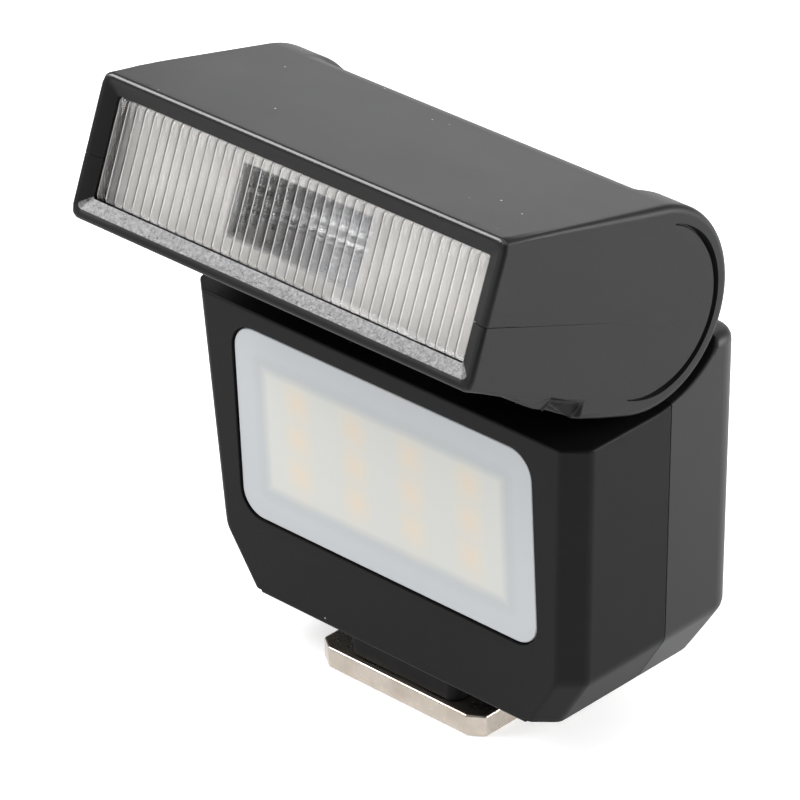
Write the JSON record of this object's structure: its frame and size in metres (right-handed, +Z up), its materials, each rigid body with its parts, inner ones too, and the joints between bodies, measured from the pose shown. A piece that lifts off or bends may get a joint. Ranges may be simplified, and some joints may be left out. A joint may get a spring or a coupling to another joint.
{
  "type": "speedlight flash",
  "caption": "Small shoe-mount speedlight: a tilting flash head with a ribbed lens over a tapered body with a diffused LED panel and a metal foot.",
  "frame": {"origin": "centre of the foot's underside, on the tip of the centre contact", "axes": "+Z up through the body, -Y the way the LED panel and the level flash head face, +X to the right seen from behind"},
  "size_m": [0.0442, 0.031, 0.0532],
  "materials": {
    "black_abs": "black, fine spark texture, satin",
    "black_abs_head": "black, fine spark texture, satin",
    "black_button": "black, smooth satin",
    "nickel_foot": "bright nickel plate on steel",
    "dark_screw": "black zinc",
    "bright_steel": "plain steel",
    "bracket_steel": "phosphated steel",
    "gold_contact": "gold plate on brass",
    "frosted_window": "frosted white acrylic",
    "clear_lens": "clear ribbed polycarbonate",
    "clear_pipe": "clear polycarbonate",
    "mirror_reflector": "polished aluminium",
    "silver_backing": "satin silver paint",
    "circuit_board": "green fibreglass",
    "led_phosphor": "yellow phosphor",
    "black_epoxy": "moulded epoxy",
    "capacitor_sleeve": "shrink sleeve",
    "battery_pouch": "laminated foil pouch",
    "silicone_rubber": "translucent grey silicone",
    "quartz_tube": "clear quartz"
  },
  "bodies": {
    "body": {"foot_plate": "nickel_foot", "foot_neck": "black_abs", "contact_insulator": "black_abs", "foot_screw_1": "bright_steel", "foot_screw_2": "bright_steel", "foot_screw_3": "bright_steel", "foot_screw_4": "bright_steel", "body_front_shell": "black_abs", "body_rear_shell": "black_abs", "light_diffuser": "frosted_window", "led_board": "circuit_board", "led_01": "led_phosphor", "led_02": "led_phosphor", "led_03": "led_phosphor", "led_04": "led_phosphor", "led_05": "led_phosphor", "led_06": "led_phosphor", "led_07": "led_phosphor", "led_08": "led_phosphor", "led_09": "led_phosphor", "led_10": "led_phosphor", "led_11": "led_phosphor", "led_12": "led_phosphor", "main_board": "circuit_board", "battery_cell": "battery_pouch", "flash_capacitor": "capacitor_sleeve", "boost_transformer": "black_epoxy", "charging_socket": "bright_steel", "mode_switch": "black_epoxy", "minus_switch": "black_epoxy", "plus_switch": "black_epoxy", "test_switch": "black_epoxy", "status_light_pipe": "clear_pipe", "body_screw_1": "dark_screw", "body_screw_2": "dark_screw", "body_screw_3": "dark_screw", "body_screw_4": "dark_screw", "hinge_bracket": "bracket_steel", "contact_spring": "bright_steel"},
    "head": {"head_upper_shell": "black_abs_head", "head_lower_shell": "black_abs_head", "ribbed_lens": "clear_lens", "silver_backing": "silver_backing", "reflector": "mirror_reflector", "xenon_tube": "quartz_tube", "left_tube_seal": "silicone_rubber", "right_tube_seal": "silicone_rubber", "trigger_board": "circuit_board", "hinge_shaft": "bright_steel", "left_shaft_block": "black_abs", "right_shaft_block": "black_abs", "left_friction_washer": "gold_contact", "right_friction_washer": "gold_contact", "left_head_screw": "dark_screw", "right_head_screw": "dark_screw"},
    "mode_button": {"mode_button": "black_button"},
    "minus_button": {"minus_button": "black_button"},
    "plus_button": {"plus_button": "black_button"},
    "test_button": {"test_button": "black_button"},
    "centre_contact": {"centre_contact": "gold_contact"}
  },
  "joints": [
    {"name": "head_tilt", "type": "hinge", "parent": "body", "child": "head", "pos_m": [0, 0, 0.0407], "axis": [-1, 0, 0], "range_deg": [-23.5, 66.5]},
    {"name": "mode_button_press", "type": "slide", "parent": "body", "child": "mode_button", "axis": [0, -1, 0], "range_m": [0, 0.0004], "stiffness_N_per_m": 600},
    {"name": "minus_button_press", "type": "slide", "parent": "body", "child": "minus_button", "axis": [0, -1, 0], "range_m": [0, 0.0004], "stiffness_N_per_m": 600},
    {"name": "plus_button_press", "type": "slide", "parent": "body", "child": "plus_button", "axis": [0, -1, 0], "range_m": [0, 0.0004], "stiffness_N_per_m": 600},
    {"name": "test_button_press", "type": "slide", "parent": "body", "child": "test_button", "axis": [0, -1, 0], "range_m": [0, 0.0004], "stiffness_N_per_m": 600},
    {"name": "centre_contact_press", "type": "slide", "parent": "body", "child": "centre_contact", "axis": [0, 0, 1], "range_m": [0, 0.0004], "stiffness_N_per_m": 300, "deforming": ["contact_spring"]}
  ]
}
